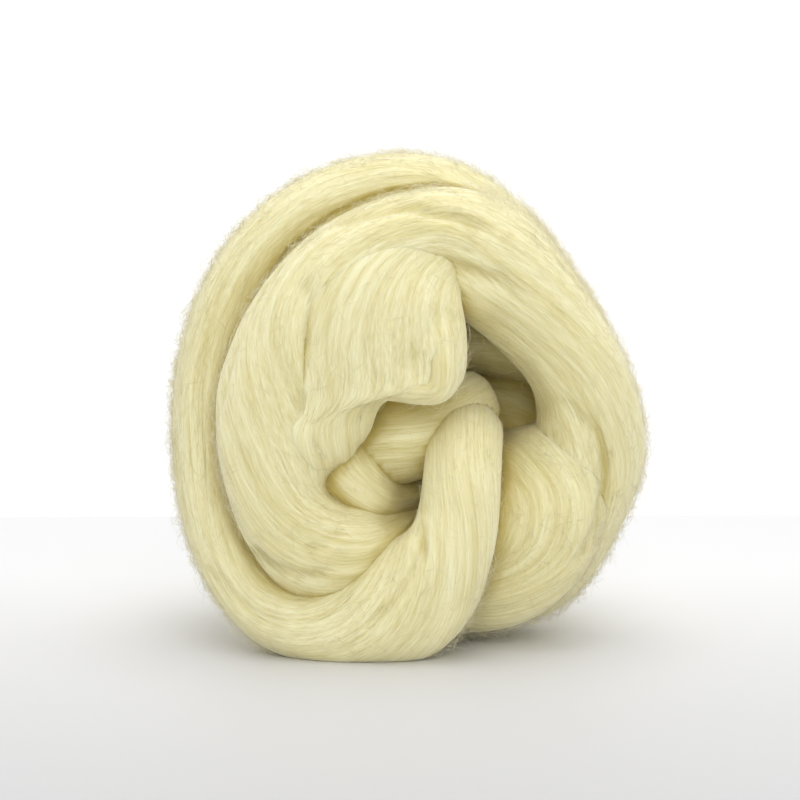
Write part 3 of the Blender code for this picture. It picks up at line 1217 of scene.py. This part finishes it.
# %% A material that takes any node
class Finish:
    """A material, with one method that adds any node to it."""

    def __init__(self, name, **constants):
        self.material = bpy.data.materials.new(name)
        self.material.use_nodes = True
        self.tree = self.material.node_tree
        self.shader = self.tree.nodes["Principled BSDF"]
        for socket, value in constants.items():
            self.shader.inputs[socket.replace("_", " ")].default_value = value

    def node(self, kind, settings=None, sockets=None, output=0):
        """Add a node: its type, its settings, then the values or links of its sockets."""
        made = self.tree.nodes.new(kind)
        for key, value in (settings or {}).items():
            setattr(made, key, value)
        for key, value in (sockets or {}).items():
            if isinstance(value, Socket):
                self.tree.links.new(value.socket, made.inputs[key])
            else:
                made.inputs[key].default_value = value
        return Socket(self, made.outputs[output])

    def sum_up(self, operation, first, second):
        """Add a Math node."""
        return self.node("ShaderNodeMath", {"operation": operation}, {0: first, 1: second})

    def feed(self, socket, value):
        """Link a value to a socket of the shader."""
        self.tree.links.new(value.socket, self.shader.inputs[socket])


# %% Colours, streaks and blends
# The lit top of a lock and the valleys between locks, in linear light.
PALE = (0.98, 0.925, 0.60, 1.0)
DEEP = (0.72, 0.64, 0.28, 1.0)
# Painted shade: the dark olive that the bottom of a crease is painted.
PAINTED_CREASE_SHADE = (0.60, 0.49, 0.13, 1.0)
FIBRE_PALE = (1.0, 0.965, 0.66, 1.0)
FIBRE_DEEP = (0.84, 0.77, 0.40, 1.0)
# Painted shade: the fuzz is a greyer copy of the fibres' colours, for the light that passes through
# it.
FUZZ_PALE = (0.92, 0.87, 0.62, 1.0)
FUZZ_DEEP = (0.78, 0.72, 0.46, 1.0)


def streaks(finish, flow, along, across, detail=1.0, rough=0.5):
    """Noise with cells of the given length and width in mm, along the flow."""
    scale = (1 / (along * MM), 1 / (across * MM), 1 / (across * MM))
    stretched = finish.node("ShaderNodeVectorMath", {"operation": "MULTIPLY"}, {0: flow, 1: scale})
    sockets = {"Vector": stretched, "Scale": 1.0, "Detail": detail, "Roughness": rough}
    return finish.node("ShaderNodeTexNoise", None, sockets)


def leaning(finish, flow, lean):
    """The flow turned by a small angle, so that hairs cross each other."""
    turn = {"Vector": flow, "Rotation": (0.0, lean, lean)}
    return finish.node("ShaderNodeMapping", None, turn)


MIX_FACTOR, MIX_A, MIX_B, MIX_RESULT = 0, 6, 7, 2


def blended(finish, share, first, second):
    """A colour between two."""
    # A Mix node has a pair of inputs for each type of data, and its colours are these.
    return finish.node("ShaderNodeMix", {"data_type": "RGBA"},
                       {MIX_FACTOR: share, MIX_A: first, MIX_B: second}, MIX_RESULT)


def sunk(finish, colour):
    """The colour, with painted shade: it goes to dark olive in the deep places."""
    depth = finish.node("ShaderNodeAttribute", {"attribute_name": "depth"}, None, "Fac")
    share = finish.node("ShaderNodeMapRange", {"interpolation_type": "SMOOTHSTEP"},
                        {"Value": depth, "From Min": 0.1, "From Max": 0.7, "To Max": 0.9})
    return blended(finish, share, colour, PAINTED_CREASE_SHADE)


# %% [markdown]
# The body's finish has three sizes of streak: locks a few millimetres wide, strands under
# a millimetre, and hairs in two directions that cross at a small angle. Light goes a few
# millimetres into wool before it comes out again, so some of it is scattered under the
# surface. The loose fibres only need one tone each.

# %% Combed wool and single fibres
def combed_wool():
    """The finish of the laps."""
    finish = Finish("combed_wool", Roughness=0.75, Subsurface_Weight=0.3,
                    Subsurface_Scale=0.003, Subsurface_Radius=(1.0, 0.85, 0.5),
                    Sheen_Weight=0.4, Sheen_Roughness=0.5, Specular_IOR_Level=0.3)
    flow = finish.node("ShaderNodeAttribute", {"attribute_name": "flow"}, None, "Vector")
    left, right = leaning(finish, flow, 0.1), leaning(finish, flow, -0.1)
    locks = streaks(finish, flow, 55, 3.5, 2.0)
    strands = streaks(finish, flow, 22, 0.9, 2.0, 0.6)
    hairs = streaks(finish, left, 12, 0.4, 1.0) * 0.5 + streaks(finish, right, 12, 0.4, 1.0) * 0.5
    tone = locks * 1.3 + strands * 1.2 + hairs * 1.5 - 1.4
    # The deep places get painted shade, a dark olive.
    finish.feed("Base Color", sunk(finish, blended(finish, tone, DEEP, PALE)))
    height = strands * 0.35 + hairs * 0.65
    bump = finish.node("ShaderNodeBump", None,
                       {"Strength": 0.4, "Distance": 0.00025, "Height": height})
    finish.feed("Normal", bump)
    return finish.material


def single_fibre(name, deep, pale):
    """The finish of the loose fibres, between two colours by their own tone, with painted shade in
    the deep places.
    """
    finish = Finish(name, Roughness=0.5, Sheen_Weight=0.2, Specular_IOR_Level=0.4)
    tone = finish.node("ShaderNodeAttribute", {"attribute_name": "tone"}, None, "Fac")
    finish.feed("Base Color", sunk(finish, blended(finish, tone, deep, pale)))
    return finish.material


wool = combed_wool()
for lap in laps.values():
    lap.data.materials.append(wool)
for kind, deep, pale, pieces in (("single_fibre", FIBRE_DEEP, FIBRE_PALE, fibres),
                                 ("fuzz", FUZZ_DEEP, FUZZ_PALE, fuzz)):
    fibre_wool = single_fibre(kind, deep, pale)
    for piece in pieces:
        piece.data.materials.append(fibre_wool)
print("materials:", [material.name for material in bpy.data.materials if material.users])

# %% [markdown]
# ## The studio
#
# The nest stands on a pale table in a white room, as a small product would. Most of the
# light comes from the room itself. A wide lamp overhead gives the folds their shade, and a
# weaker one in front fills them. The long lens keeps the nest's outline nearly flat.

# %% Camera
CAMERA_LENS = 100.0
SENSOR = 36.0
# The render's width in pixels, and what one of them shows at the point looked at.
FRAME = 800
PIXEL = 0.329 * MM
CAMERA_TILT = math.radians(6)
LOOK_AT = Vector((-2.4 * MM, -10.1 * MM, 78.2 * MM))


def aim(thing, target):
    """Turn a camera or a lamp to look at a point."""
    thing.rotation_mode = "QUATERNION"
    thing.rotation_quaternion = (Vector(target) - thing.location).to_track_quat("-Z", "Y")


camera = bpy.data.objects.new("camera", bpy.data.cameras.new("camera"))
bpy.context.scene.collection.objects.link(camera)
camera.data.lens = CAMERA_LENS
camera.data.sensor_width = SENSOR
distance = FRAME * PIXEL * CAMERA_LENS / SENSOR
camera.location = LOOK_AT + Vector((0, -math.cos(CAMERA_TILT), math.sin(CAMERA_TILT))) * distance
aim(camera, LOOK_AT)
bpy.context.scene.camera = camera
bpy.context.scene.view_settings.view_transform = "Standard"

# %% Room and table
ROOM_LIGHT = 0.8
STUDIO_WIDTH = 4.0
TABLE_DEPTH = 1.3
TABLE_BACK = 0.24
TABLE_TURN = math.radians(0.9)
# Painted shade: the table is darker in front than behind, where less light falls.
TABLE_NEAR = (0.58, 0.58, 0.585, 1)
TABLE_FAR = (0.82, 0.82, 0.83, 1)
BACKDROP_HEIGHT = 2.4
BACKDROP_PLACE = (0, 1.0, 0.6)

world = bpy.data.worlds.new("studio")
bpy.context.scene.world = world
world.use_nodes = True
world.node_tree.nodes["Background"].inputs[0].default_value = (1, 1, 1, 1)
world.node_tree.nodes["Background"].inputs[1].default_value = ROOM_LIGHT


def sheet(name, size, place, turn, paint):
    """A flat plane of the studio, which isn't part of the nest."""
    bpy.ops.mesh.primitive_plane_add(size=1.0, location=place, rotation=turn)
    plane = bpy.context.object
    plane.name = name
    plane.scale = (*size, 1)
    bpy.ops.object.transform_apply(location=True, rotation=True, scale=True)
    plane.data.materials.append(paint)
    plane.select_set(False)
    plane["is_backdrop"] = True


# The table's colour carries painted shade, darker towards the front.
table_paint = Finish("table_top", Roughness=0.6)
where = table_paint.node("ShaderNodeTexCoord", None, None, "Object")
back = table_paint.node("ShaderNodeSeparateXYZ", None, {"Vector": where}, "Y")
share = table_paint.node("ShaderNodeMapRange", None,
                         {"Value": back, "From Min": -0.25, "From Max": 0.1})
table_paint.feed("Base Color", blended(table_paint, share, TABLE_NEAR, TABLE_FAR))
backdrop_paint = Finish("backdrop", Base_Color=(0, 0, 0, 1), Emission_Color=(1, 1, 1, 1),
                        Emission_Strength=1.05)
sheet("table", (STUDIO_WIDTH, TABLE_DEPTH), (0, TABLE_BACK - TABLE_DEPTH / 2, 0),
      (0, 0, TABLE_TURN), table_paint.material)
sheet("backdrop", (STUDIO_WIDTH, BACKDROP_HEIGHT), BACKDROP_PLACE,
      (math.pi / 2, 0, 0), backdrop_paint.material)


# %% Lamps
def lamp(name, place, size, power):
    """A square soft lamp that looks at the nest: its place and size in metres, and its watts."""
    light = bpy.data.objects.new(name, bpy.data.lights.new(name, "AREA"))
    bpy.context.scene.collection.objects.link(light)
    light.location = place
    light.data.size = size
    light.data.energy = power
    aim(light, LOOK_AT)


lamp("overhead", (0.06, 0.05, 0.9), 0.6, 2.5)
lamp("front_fill", (0.12, -0.9, 0.7), 0.5, 1.8)
print("camera to nest, m:", round(distance, 3))

# %% [markdown]
# ## The nest's body
#
# Every piece rides on the nest's only body and stands for the plain solid, which is hidden.

# %% Ride and replace, and measure the box
for piece in [*laps.values(), *fibres, *fuzz]:
    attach(piece, "root")
    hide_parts("wool_roving")
sizes = {"solids": CAD_BOX, "dressed": [list(corner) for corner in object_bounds()]}
for key, box in sizes.items():
    print(key, "mm:", [[round(1000 * value, 1) for value in corner] for corner in box])
